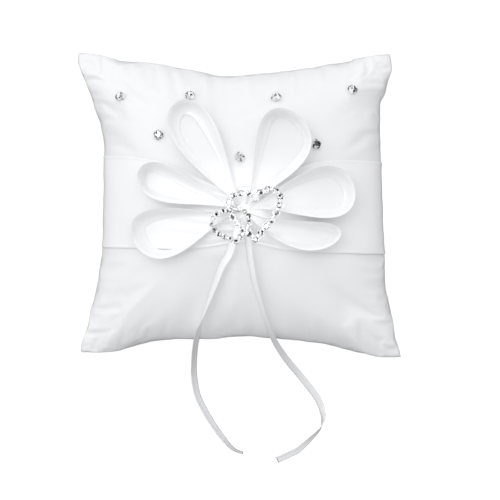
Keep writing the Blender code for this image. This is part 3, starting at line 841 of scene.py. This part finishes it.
class RINGPILLOW_OT_cushion(bpy.types.Operator):
    """Make the cushion's satin cover: front and back meet in one seam and puckers run along it"""

    bl_idname = "ring_pillow.cushion"
    bl_label = "Cushion Cover"

    def execute(self, context):
        settings = context.scene.ring_pillow
        count = COVER_CELLS + 1
        front, back = cover_grids(cover_steps())
        front_index, back_index = cover_indices(count)
        points = np.concatenate([front.reshape(-1, 3), back[1:-1, 1:-1].reshape(-1, 3)])
        faces = np.concatenate([index_quads(front_index), index_quads(back_index)[:, ::-1]])
        cover = put_piece("cushion_cover", points, faces, cover_material())
        border = np.unique(np.concatenate([
            front_index[0], front_index[-1], front_index[:, 0], front_index[:, -1],
        ]))
        start, result = settle_cloth(cover, border, settings.growth)
        free = 1 - np.exp(-np.sum((start[:, :2] - HUB[:2]) ** 2, axis=1) / CLOTH_CALM ** 2)
        clear_of_sash = smoothstep((np.abs(start[:, 1]) - CLOTH_BAND) / CLOTH_BAND_EDGE)
        free = free * (CLOTH_UNDER_SASH + (1 - CLOTH_UNDER_SASH) * clear_of_sash)
        free = free * (1 - tail_nearness(start) * (start[:, 2] > SEAM_HEIGHT))
        points = start + (limit_move(start, result, settings.cap) - start) * free[:, None]
        points[:, 2] = np.maximum(points[:, 2], COVER_LOWEST)
        cover.data.vertices.foreach_set("co", points.ravel())
        cover.data.update()
        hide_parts("front_panel", "back_panel", "fibre_filling")
        return {"FINISHED"}


class RINGPILLOW_OT_sash(bpy.types.Operator):
    """Lay the wide satin sash across the front, pleated where the bow gathers it"""

    bl_idname = "ring_pillow.sash"
    bl_label = "Sash"

    def execute(self, context):
        surface = cover_surface()
        along = np.linspace(-1, 1, SASH_STEPS[0])
        u = SASH_END * (0.6 * along + 0.4 * np.sin(along * math.pi / 2))
        even = np.linspace(0.0, 1.0, SASH_STEPS[1])
        share = even - 0.13 * np.sin(2 * math.pi * even)
        u, share = np.meshgrid(u, share, indexing="ij")
        v = np.zeros_like(u)
        for _ in range(40):
            here = surface.point(u, v)
            low, high = sash_edges(here[..., 0])
            v = v + (low + share * (high - low) - here[..., 1]) / HALF_LENGTH
        place = surface.point(u, v)
        lift = sash_lift(place[..., 0], place[..., 1])
        points = place + lift[..., None] * surface.normal(u, v)
        uv = np.stack([u * HALF_WIDTH, share * 2 * SASH_HALF], axis=-1)
        sash = put_piece("sash", points, grid_quads(*u.shape)[:, ::-1], sash_material(), uv)
        thicken(sash, SASH_WALL)
        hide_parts("sash_band")
        return {"FINISHED"}


# ---------------------------------------------------------------- bow


def teardrop(shape, turn):
    """Outline of a bow loop from above: distance from the hub is the length times the squared
    sine of the half turn, and width follows the sine of the turn times a power of that half sine."""
    bearing, length, breadth, pointedness, drift, belly = shape
    half_sine = np.sin(turn / 2)
    share = half_sine ** 2
    peak_share = (pointedness + 1) / (pointedness + 2)
    peak = 2 * peak_share ** ((pointedness + 1) / 2) * math.sqrt(1 - peak_share)
    across = breadth / 2 * np.sin(turn) * half_sine ** pointedness / peak
    across = across + drift * share ** 2 + belly * share * (1 - share)
    along = length * share
    heading = math.radians(bearing)
    x = HUB[0] + math.cos(heading) * along - math.sin(heading) * across
    y = HUB[1] + math.sin(heading) * along + math.cos(heading) * across
    return np.stack([x, y], axis=-1)


def loop_piece(surface, name, shape, number):
    """A satin ribbon loop standing on its edge, pleated where it is gathered.

    Its lip runs along the teardrop, and its foot lies inside that by the lean, on the cloth
    below. Across its width the ribbon follows a quarter ellipse, flat at the foot and upright at
    the top, where a narrow lip turns outwards. The ellipse's height makes its arc the ribbon's width,
    less the share that has slumped.
    """
    first = 2 * math.asin(math.sqrt(LOOP_ROOT_REACH / shape[1]))
    outline = even_points(teardrop(shape, np.linspace(first, 2 * math.pi - first, 900)), LOOP_STEPS[0])
    ahead = unit(np.gradient(outline, axis=0))
    outward = np.stack([-ahead[:, 1], ahead[:, 0]], axis=-1)
    if np.mean(np.sum(outward * (outline - outline.mean(axis=0)), axis=1)) < 0:
        outward = -outward
    reach = np.linalg.norm(outline - HUB[:2], axis=1) - LOOP_ROOT_REACH
    rise = smoothstep(reach / LOOP_RISE_REACH)
    run = np.linspace(0, 1, len(outline))
    up = np.linspace(0, 1, LOOP_STEPS[1])
    leans = smooth_route([(step, lean, 0.0) for step, lean in enumerate(LOOP_LEANS[name])], 400)
    lean = np.interp(run * 6, leans[:, 0], leans[:, 1]) * (0.45 + 0.55 * rise)
    lean = lean + LOOP_FLUTTER * rise * ripple(run + number * 0.17, ((1, 2.0, 0.6), (0.6, 4.3, 2.0)))
    width = LOOP_ROOT_WIDTH + (LOOP_WIDTH - LOOP_ROOT_WIDTH) * rise
    height = LOOP_SLUMP * np.sqrt(np.maximum(2 * (2 * width / math.pi) ** 2 - lean ** 2, 9e-6))
    foot = outline - outward * (lean + LOOP_LIP * rise)[:, None]
    foot_z = seat_height(surface, foot[:, 0], foot[:, 1])
    arc = up[None, :] * math.pi / 2
    lip = LOOP_LIP * rise[:, None] * smoothstep((up - LOOP_LIP_START) / LOOP_LIP_BAND)[None, :]
    fold = np.sin(2 * math.pi * (2 * up[None, :] + 0.25 * number))
    pleat = LOOP_PLEAT * np.exp(-reach / LOOP_PLEAT_REACH)[:, None] * fold
    shift = lean[:, None] * np.sin(arc) + lip + pleat
    plan_points = foot[:, None, :] + outward[:, None, :] * shift[..., None]
    z = foot_z[:, None] + height[:, None] * (1 - np.cos(arc))
    points = np.concatenate([plan_points, z[..., None]], axis=-1)
    length = line_length(outline)
    uv = np.stack(np.meshgrid(run * length, up * LOOP_WIDTH, indexing="ij"), axis=-1)
    loop = put_piece("ribbon_loop_" + name, points, grid_quads(*z.shape), ribbon_material(), uv)
    thicken(loop, LOOP_WALL)
    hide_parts("bow_loop_" + name)
    return loop


class RINGPILLOW_OT_bow(bpy.types.Operator):
    """Stand six satin ribbon loops around the hub"""

    bl_idname = "ring_pillow.bow"
    bl_label = "Bow Loops"

    def execute(self, context):
        surface = cover_surface()
        for number, (name, shape) in enumerate(LOOPS.items()):
            loop_piece(surface, name, shape, number)
        return {"FINISHED"}


class RINGPILLOW_OT_knot(bpy.types.Operator):
    """Wrap the rounded satin knot that gathers the loops"""

    bl_idname = "ring_pillow.knot"
    bl_label = "Bow Knot"

    def execute(self, context):
        turn = np.linspace(0, 2 * math.pi, KNOT_STEPS[0], endpoint=False)
        share = np.linspace(1.0, 0.03, KNOT_STEPS[1])
        share, turn = np.meshgrid(share, turn, indexing="ij")
        pleats = np.cos(13 * turn + 1.5 * np.sin(2 * turn)) + 0.6 * np.cos(21 * turn + 1.0)
        radius = KNOT_SPREAD * share * (1 + 0.06 * share * np.cos(3 * turn + 0.7))
        low, high = KNOT_LOW[2] - KNOT_SINK, KNOT_HIGH[2] - KNOT_TOP_GAP
        z = low + (high - low) * (1 - share ** KNOT_ROUNDNESS) + KNOT_PLEAT * pleats * share * (1.1 - share)
        x = HUB[0] + KNOT_SHIFT[0] + radius * np.cos(turn)
        y = HUB[1] + KNOT_SHIFT[1] + radius * np.sin(turn)
        points = np.stack([x, y, z], axis=-1).reshape(-1, 3)
        rows, columns = turn.shape
        quads = grid_quads(rows, columns, wrap_columns=True).tolist()
        faces = quads + [list(range(columns))[::-1], list(range((rows - 1) * columns, rows * columns))]
        uv = np.stack([radius * np.cos(turn), radius * np.sin(turn)], axis=-1)
        knot = put_piece("ribbon_knot", points, faces, ribbon_material(), uv)
        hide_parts("bow_knot")
        return {"FINISHED"}


# ---------------------------------------------------------------- hearts and stones


def heart_outline(turn, centre, width, slant, tilt, waves):
    """Heart from above: x follows the cubed sine of the turn, y a sum of four cosines."""
    first, second, third, fourth = (width * wave for wave in waves)
    x = width / 2 * np.sin(turn) ** 3
    y = first * np.cos(turn) - second * np.cos(2 * turn)
    y = y - third * np.cos(3 * turn) - fourth * np.cos(4 * turn) + slant * x
    angle = math.radians(tilt)
    turned_x = math.cos(angle) * x - math.sin(angle) * y
    turned_y = math.sin(angle) * x + math.cos(angle) * y
    return np.stack([centre[0] + turned_x, centre[1] + turned_y], axis=-1)


def heart_path(heart, count):
    """Even points along a heart, starting at its dip, with its tip kept sharp."""
    right = even_points(heart_outline(np.linspace(0, math.pi, 600), *heart), count + 1)[:-1]
    left = even_points(heart_outline(np.linspace(math.pi, 2 * math.pi, 600), *heart), count + 1)[:-1]
    return np.concatenate([right, left])


def mitred(path):
    """Outward directions of a closed path, lengthened at its corners like a mitre joint."""
    ahead = unit(np.roll(path, -1, axis=0) - path)
    behind = np.roll(ahead, 1, axis=0)
    normal_ahead = np.stack([ahead[:, 1], -ahead[:, 0]], axis=-1)
    normal_behind = np.stack([behind[:, 1], -behind[:, 0]], axis=-1)
    bisector = unit(normal_ahead + normal_behind)
    cosine = np.sum(bisector * normal_ahead, axis=1)
    return bisector / np.maximum(cosine, 0.5)[:, None]


def rail_mesh(path, width, low, high):
    """A rounded bar of even width along a closed path."""
    profile = np.array([(-1, 0.0), (1, 0.0), (1, 0.6), (0.8, 1.0), (-0.8, 1.0), (-1, 0.6)])
    outward = mitred(path)
    plan_points = path[:, None, :] + outward[:, None, :] * (profile[:, 0] * width / 2)[None, :, None]
    z = np.broadcast_to(low + (high - low) * profile[:, 1], plan_points.shape[:2])
    points = np.concatenate([plan_points, z[..., None]], axis=-1)
    return points.reshape(-1, 3), grid_quads(len(path), len(profile), True, True)


def turned_meshes(profile, centres, sides, phase=0.0):
    """Copies of one turned profile, standing at each of the centres, with closed ends."""
    angles = np.linspace(0, 2 * math.pi, sides, endpoint=False) + phase
    rings = np.stack([
        profile[:, 0, None] * np.cos(angles),
        profile[:, 0, None] * np.sin(angles),
        np.broadcast_to(profile[:, 1, None], (len(profile), sides)),
    ], axis=-1).reshape(-1, 3)
    points = (centres[:, None, :] + rings[None]).reshape(-1, 3)
    quads = grid_quads(len(profile), sides, wrap_columns=True)
    steps = np.arange(len(centres)) * len(rings)
    faces = (quads[None] + steps[:, None, None]).reshape(-1, 4).tolist()
    bottom = (np.arange(sides)[::-1][None] + steps[:, None]).tolist()
    top = (len(rings) - sides + np.arange(sides)[None] + steps[:, None]).tolist()
    return points, faces + bottom + top


def join_meshes(parts):
    """Points and faces of several meshes as one."""
    points, faces, start = [], [], 0
    for part_points, part_faces in parts:
        points.append(part_points)
        faces += (np.asarray(part_faces) + start).tolist() if isinstance(part_faces, np.ndarray) else [
            [corner + start for corner in face] for face in part_faces
        ]
        start += len(part_points)
    return np.concatenate(points), faces


def brilliant(radius):
    """A brilliant-cut crown over a short foot: table, star, kite and girdle facets.

    Rings from the bottom: foot, girdle of sixteen, kite ring of eight and table of eight.
    """
    sixteen = np.arange(16) * math.pi / 8
    eight = np.arange(8) * math.pi / 4
    foot = np.stack([0.8 * np.cos(sixteen), 0.8 * np.sin(sixteen), 0 * sixteen], axis=-1)
    low = np.stack([np.cos(sixteen), np.sin(sixteen), 0 * sixteen + 0.30], axis=-1)
    girdle = low + np.array([0, 0, 0.08])
    kite = np.stack([0.80 * np.cos(eight), 0.80 * np.sin(eight), 0 * eight + 0.68], axis=-1)
    half = eight + math.pi / 8
    table = np.stack([0.56 * np.cos(half), 0.56 * np.sin(half), 0 * eight + 0.92], axis=-1)
    points = np.concatenate([foot, low, girdle, kite, table]) * radius
    n = np.arange(16)
    m = (n + 1) % 16
    k = np.arange(8)
    nxt = (k + 1) % 8
    faces = np.stack([n, m, 16 + m, 16 + n], axis=-1).tolist()
    faces += np.stack([16 + n, 16 + m, 32 + m, 32 + n], axis=-1).tolist()
    faces += np.stack([32 + 2 * k, 32 + (2 * k + 1) % 16, 48 + k], axis=-1).tolist()
    faces += np.stack([32 + (2 * k + 1) % 16, 32 + (2 * k + 2) % 16, 48 + nxt], axis=-1).tolist()
    faces += np.stack([48 + k, 32 + (2 * k + 1) % 16, 48 + nxt, 56 + k], axis=-1).tolist()
    faces += np.stack([48 + k, 56 + k, 56 + (k - 1) % 8], axis=-1).tolist()
    faces += [list(range(56, 64)), list(range(15, -1, -1))]
    return points, faces


def frame_towards(normals):
    """Turning arrays whose third axis is each normal."""
    helper = np.where(np.abs(normals[:, 2:3]) < 0.9, [[0.0, 0.0, 1.0]], [[1.0, 0.0, 0.0]])
    first = unit(np.cross(helper, normals))
    second = np.cross(normals, first)
    return np.stack([first, second, normals], axis=-1)


def stones_mesh(radius, centres, normals, spins):
    """Brilliant stones at the centres, facing along the normals, each spun by its own angle."""
    points, faces = brilliant(radius)
    turned = np.stack([
        points[None, :, 0] * np.cos(spins)[:, None] - points[None, :, 1] * np.sin(spins)[:, None],
        points[None, :, 0] * np.sin(spins)[:, None] + points[None, :, 1] * np.cos(spins)[:, None],
        np.broadcast_to(points[None, :, 2], (len(spins), len(points))),
    ], axis=-1)
    placed = np.einsum("nij,npj->npi", frame_towards(normals), turned) + centres[:, None, :]
    steps = np.arange(len(centres)) * len(points)
    return placed.reshape(-1, 3), [[c + int(step) for c in face] for step in steps for face in faces]


def node_names(prefix):
    """Names of the frame's nodes that start with a prefix, in order."""
    return sorted(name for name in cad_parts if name.startswith(prefix))


def node_centres(names):
    """Middle of the underside of each named node."""
    boxes = [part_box(name) for name in names]
    return np.array([[(lo[0] + hi[0]) / 2, (lo[1] + hi[1]) / 2, lo[2]] for lo, hi in boxes])


def heart_pieces(size, heart, radius, width, seed):
    """One heart: a rail, a claw-set cup for each stone, and the stones themselves."""
    names = node_names(size + "_heart_stone")
    low, high = (corner[2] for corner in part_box(size + "_heart_frame"))
    seats = node_centres(names)
    path = heart_path(heart, HEART_STEPS)
    cup = np.array([(0.62, 0.0), (0.95, 0.0), (1.12, 0.55), (1.16, 1.0), (1.06, 1.04), (0.96, 0.8)])
    cup = np.stack([cup[:, 0] * radius, cup[:, 1] * radius * 0.62], axis=-1)
    cup_seats = seats.copy()
    cup_seats[:, 2] = high - CUP_SINK
    claw_turn = math.pi / 4 + np.arange(4) * math.pi / 2
    spin = np.linspace(0, 5.0, len(seats))
    angles = claw_turn[None, :] + spin[:, None]
    claws = seats[:, None, :] + radius * np.stack(
        [np.cos(angles), np.sin(angles), 0 * angles + 0.26], axis=-1)
    bead = np.array([(0.12, 0.0), (0.24, 0.12), (0.26, 0.3), (0.18, 0.48), (0.06, 0.54)]) * radius
    mesh = join_meshes([
        rail_mesh(path, width * RAIL_SHARE, low, high),
        turned_meshes(cup, cup_seats, 16),
        turned_meshes(bead, claws.reshape(-1, 3), 7),
    ])
    setting = put_piece(size + "_heart_setting", *mesh, silver_material())
    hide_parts(size + "_heart_frame")
    rng = np.random.default_rng(seed)
    tip = rng.uniform(-HEART_STONE_TIP, HEART_STONE_TIP, (len(seats), 2))
    normals = unit(np.column_stack([tip, np.ones(len(seats))]))
    mesh = stones_mesh(radius * 0.98, seats, normals, rng.uniform(0, 2 * math.pi, len(seats)))
    stones = put_piece(size + "_heart_stones", *mesh, crystal_material(), smooth=False)
    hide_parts(*names)


class RINGPILLOW_OT_hearts(bpy.types.Operator):
    """Set the two joined hearts with claw-held rhinestones"""

    bl_idname = "ring_pillow.hearts"
    bl_label = "Rhinestone Hearts"

    def execute(self, context):
        heart_pieces("large", LARGE_HEART, LARGE_STONE_RADIUS, LARGE_RAIL_WIDTH, 5)
        heart_pieces("small", SMALL_HEART, SMALL_STONE_RADIUS, SMALL_RAIL_WIDTH, 8)
        return {"FINISHED"}


class RINGPILLOW_OT_scatter(bpy.types.Operator):
    """Glue the seven larger rhinestones to the upper half of the cover"""

    bl_idname = "ring_pillow.scatter"
    bl_label = "Scattered Rhinestones"

    def execute(self, context):
        surface = cover_surface()
        names = node_names("scatter_stone")
        seats = node_centres(names)
        u, v = surface.locate(seats[:, 0], seats[:, 1])
        normals = surface.normal(u, v)
        centres = surface.point(u, v) + SCATTER_GAP * normals
        rng = np.random.default_rng(3)
        slopes = rng.uniform(-SCATTER_STONE_TIP, SCATTER_STONE_TIP, (len(names), 2))
        tip = np.column_stack([slopes, np.zeros(len(names))])
        tips = unit(normals + tip)
        mesh = stones_mesh(SCATTER_STONE_RADIUS, centres, tips, rng.uniform(0, 2 * math.pi, len(names)))
        stones = put_piece("scattered_stones", *mesh, crystal_material(), smooth=False)
        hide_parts(*names)
        return {"FINISHED"}


# ---------------------------------------------------------------- tails


def tail_piece(side, route, roll):
    """A narrow satin ribbon rolled about its route, its far end cut on the slant."""
    both = np.column_stack([np.array(route), np.array(roll) * 1e-4])
    line = smooth_route(both, TAIL_STEPS)
    centre, turn = line[:, :3], np.radians(line[:, 3] * 1e4)
    ahead = unit(np.gradient(centre, axis=0))
    level = unit(np.cross(ahead, np.array([0.0, 0.0, 1.0])))
    face = np.cross(level, ahead)
    across = level * np.cos(turn)[:, None] + face * np.sin(turn)[:, None]
    over = np.cross(across, ahead)
    half = TAIL_WIDTH / 2
    needed = half * np.abs(across[:, 2]) + TAIL_FLOOR_GAP
    centre[:, 2] = np.maximum(centre[:, 2], needed)
    share = np.linspace(-1, 1, 7)
    cut = np.zeros((len(centre), len(share)))
    cut[-1] = -TAIL_SLANT * (share + 1)
    cupping = TAIL_CUPPING * (1 - share ** 2)
    points = centre[:, None, :] + across[:, None, :] * (half * share)[None, :, None]
    points = points + over[:, None, :] * cupping[None, :, None] + ahead[:, None, :] * cut[..., None]
    length = line_length(centre)
    run = np.linspace(0, length, len(centre))
    uv = np.stack(np.meshgrid(run, half * share, indexing="ij"), axis=-1)
    tail = put_piece("tail_" + side, points, grid_quads(*points.shape[:2]), ribbon_material(), uv)
    thicken(tail, TAIL_WALL)
    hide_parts("ring_tail_" + side)
    return tail


class RINGPILLOW_OT_tails(bpy.types.Operator):
    """Lay the two narrow ribbon tails down the cushion and out over the resting plane"""

    bl_idname = "ring_pillow.tails"
    bl_label = "Ribbon Tails"

    def execute(self, context):
        tail_piece("left", TAIL_LEFT_ROUTE, TAIL_LEFT_ROLL)
        tail_piece("right", TAIL_RIGHT_ROUTE, TAIL_RIGHT_ROLL)
        return {"FINISHED"}


# ---------------------------------------------------------------- stage


def place_light(data, place):
    """An object for a light's data, at a place, shining straight down."""
    light = bpy.data.objects.new(data.name, data)
    light.location = place
    bpy.context.scene.collection.objects.link(light)
    return light


def softbox(name, place, size, power):
    """A square soft light at a place, aimed at the middle of the cushion."""
    data = bpy.data.lights.new(name, "AREA")
    data.size = size
    data.energy = power
    light = place_light(data, place)
    aim = unit(np.array((0.0, 0.0, LIGHT_AIM_HEIGHT)) - np.array(place))
    light.rotation_euler = (math.acos(-aim[2]), 0.0, math.atan2(aim[1], aim[0]) - math.pi / 2)
    return light


def snoot(name, place, cone, power):
    """A narrow round light with a soft edge, straight above its place."""
    data = bpy.data.lights.new(name, "SPOT")
    data.energy = power
    data.spot_size = cone
    data.spot_blend = 1.0
    data.shadow_soft_size = 0.015
    return place_light(data, place)


def studio_world():
    """Soft light, stronger from behind the pillow's top edge, and a mostly bright room with a few
    dark gaps for polished things to mirror."""
    world = bpy.data.worlds.new("studio")
    bpy.context.scene.world = world
    world.use_nodes = True
    tree = world.node_tree
    tree.nodes.clear()
    out = tree.nodes.new("ShaderNodeOutputWorld")
    place = tree.nodes.new("ShaderNodeTexCoord")
    lean = tree.nodes.new("ShaderNodeVectorMath")
    lean.operation = "DOT_PRODUCT"
    lean.inputs[1].default_value = (-0.18, 0.50, 0.18)
    tree.links.new(place.outputs["Generated"], lean.inputs[0])
    even = tree.nodes.new("ShaderNodeBackground")
    even.inputs["Color"].default_value = (0.985, 0.989, 1.0, 1)
    strength = math_node(tree, "MULTIPLY", math_node(tree, "ADD", lean.outputs["Value"], 1.0), AMBIENT)
    tree.links.new(strength, even.inputs["Strength"])
    noise = tree.nodes.new("ShaderNodeTexNoise")
    noise.inputs["Scale"].default_value = 5.0
    noise.inputs["Detail"].default_value = 1.0
    tree.links.new(place.outputs["Generated"], noise.inputs["Vector"])
    bands = tree.nodes.new("ShaderNodeValToRGB")
    bands.color_ramp.elements[0].position = 0.385
    bands.color_ramp.elements[0].color = (0.01, 0.01, 0.012, 1)
    bands.color_ramp.elements[1].position = 0.44
    bands.color_ramp.elements[1].color = (0.92, 0.93, 0.95, 1)
    tree.links.new(noise.outputs["Fac"], bands.inputs["Fac"])
    room = tree.nodes.new("ShaderNodeBackground")
    tree.links.new(bands.outputs["Color"], room.inputs["Color"])
    rays = tree.nodes.new("ShaderNodeLightPath")
    mix = tree.nodes.new("ShaderNodeMixShader")
    tree.links.new(rays.outputs["Is Glossy Ray"], mix.inputs["Fac"])
    tree.links.new(even.outputs[0], mix.inputs[1])
    tree.links.new(room.outputs[0], mix.inputs[2])
    tree.links.new(mix.outputs[0], out.inputs["Surface"])


def floor_material():
    """White paper sweep that reads clean white and bounces little light back."""
    material, tree, shader = new_material("paper_sweep")
    shader.inputs["Base Color"].default_value = (0.14, 0.14, 0.15, 1)
    shader.inputs["Roughness"].default_value = 0.9
    shader.inputs["Specular IOR Level"].default_value = 0.0
    shader.inputs["Emission Color"].default_value = (1, 1, 1, 1)
    rays = tree.nodes.new("ShaderNodeLightPath")
    glow = math_node(tree, "MULTIPLY", rays.outputs["Is Camera Ray"], 0.97)
    tree.links.new(glow, shader.inputs["Emission Strength"])
    return material


class RINGPILLOW_OT_stage(bpy.types.Operator):
    """Set the pale floor, the soft studio light and the camera above the pillow"""

    bl_idname = "ring_pillow.stage"
    bl_label = "Studio Stage"

    def execute(self, context):
        scene = context.scene
        corners = FLOOR_HALF * np.array([(-1, -1, 0), (1, -1, 0), (1, 1, 0), (-1, 1, 0)])
        mesh = bpy.data.meshes.new("floor")
        mesh.from_pydata(corners.tolist(), [], [[0, 1, 2, 3]])
        mesh.materials.append(floor_material())
        floor = bpy.data.objects.new("floor", mesh)
        scene.collection.objects.link(floor)
        studio_world()
        softbox("key", (-0.50, 0.45, 1.10), 0.6, 1.4)
        shine = softbox("shine", (-0.42, 0.02, 1.05), 0.20, 3.5)
        shine.visible_diffuse = False
        snoot("pool", (HUB[0] + 0.002, HUB[1], 1.3), math.radians(3.6), 14.0)
        data = bpy.data.cameras.new("camera")
        data.sensor_width = 36.0
        data.lens = CAMERA_LENS
        camera = bpy.data.objects.new("camera", data)
        camera.location = CAMERA_PLACE
        scene.collection.objects.link(camera)
        scene.camera = camera
        scene.view_settings.view_transform = "Standard"
        scene.view_settings.look = "None"
        return {"FINISHED"}


# ---------------------------------------------------------------- add-on


class RINGPILLOW_PT_panel(bpy.types.Panel):
    """The pillow's pieces, in the order in which they are made"""

    bl_label = "Ring Pillow"
    bl_idname = "RINGPILLOW_PT_panel"
    bl_space_type = "VIEW_3D"
    bl_region_type = "UI"
    bl_category = "Ring Pillow"

    def draw(self, context):
        for name in ("satin", "sash", "ribbon", "growth", "cap"):
            self.layout.prop(context.scene.ring_pillow, name)
        for operator in OPERATORS:
            self.layout.operator(operator.bl_idname)


OPERATORS = (
    RINGPILLOW_OT_stage,
    RINGPILLOW_OT_tails,
    RINGPILLOW_OT_cushion,
    RINGPILLOW_OT_sash,
    RINGPILLOW_OT_bow,
    RINGPILLOW_OT_knot,
    RINGPILLOW_OT_hearts,
    RINGPILLOW_OT_scatter,
)
CLASSES = (RINGPILLOW_PG_settings, *OPERATORS, RINGPILLOW_PT_panel)


def register():
    """Register the classes and the scene's settings."""
    for item in CLASSES:
        bpy.utils.register_class(item)
    bpy.types.Scene.ring_pillow = bpy.props.PointerProperty(type=RINGPILLOW_PG_settings)


def unregister():
    """Undo register."""
    del bpy.types.Scene.ring_pillow
    for item in reversed(CLASSES):
        bpy.utils.unregister_class(item)


def main():
    """Make every piece in order."""
    register()
    for operator in OPERATORS:
        group, action = operator.bl_idname.split(".")
        getattr(getattr(bpy.ops, group), action)()


if __name__ == "__main__":
    main()
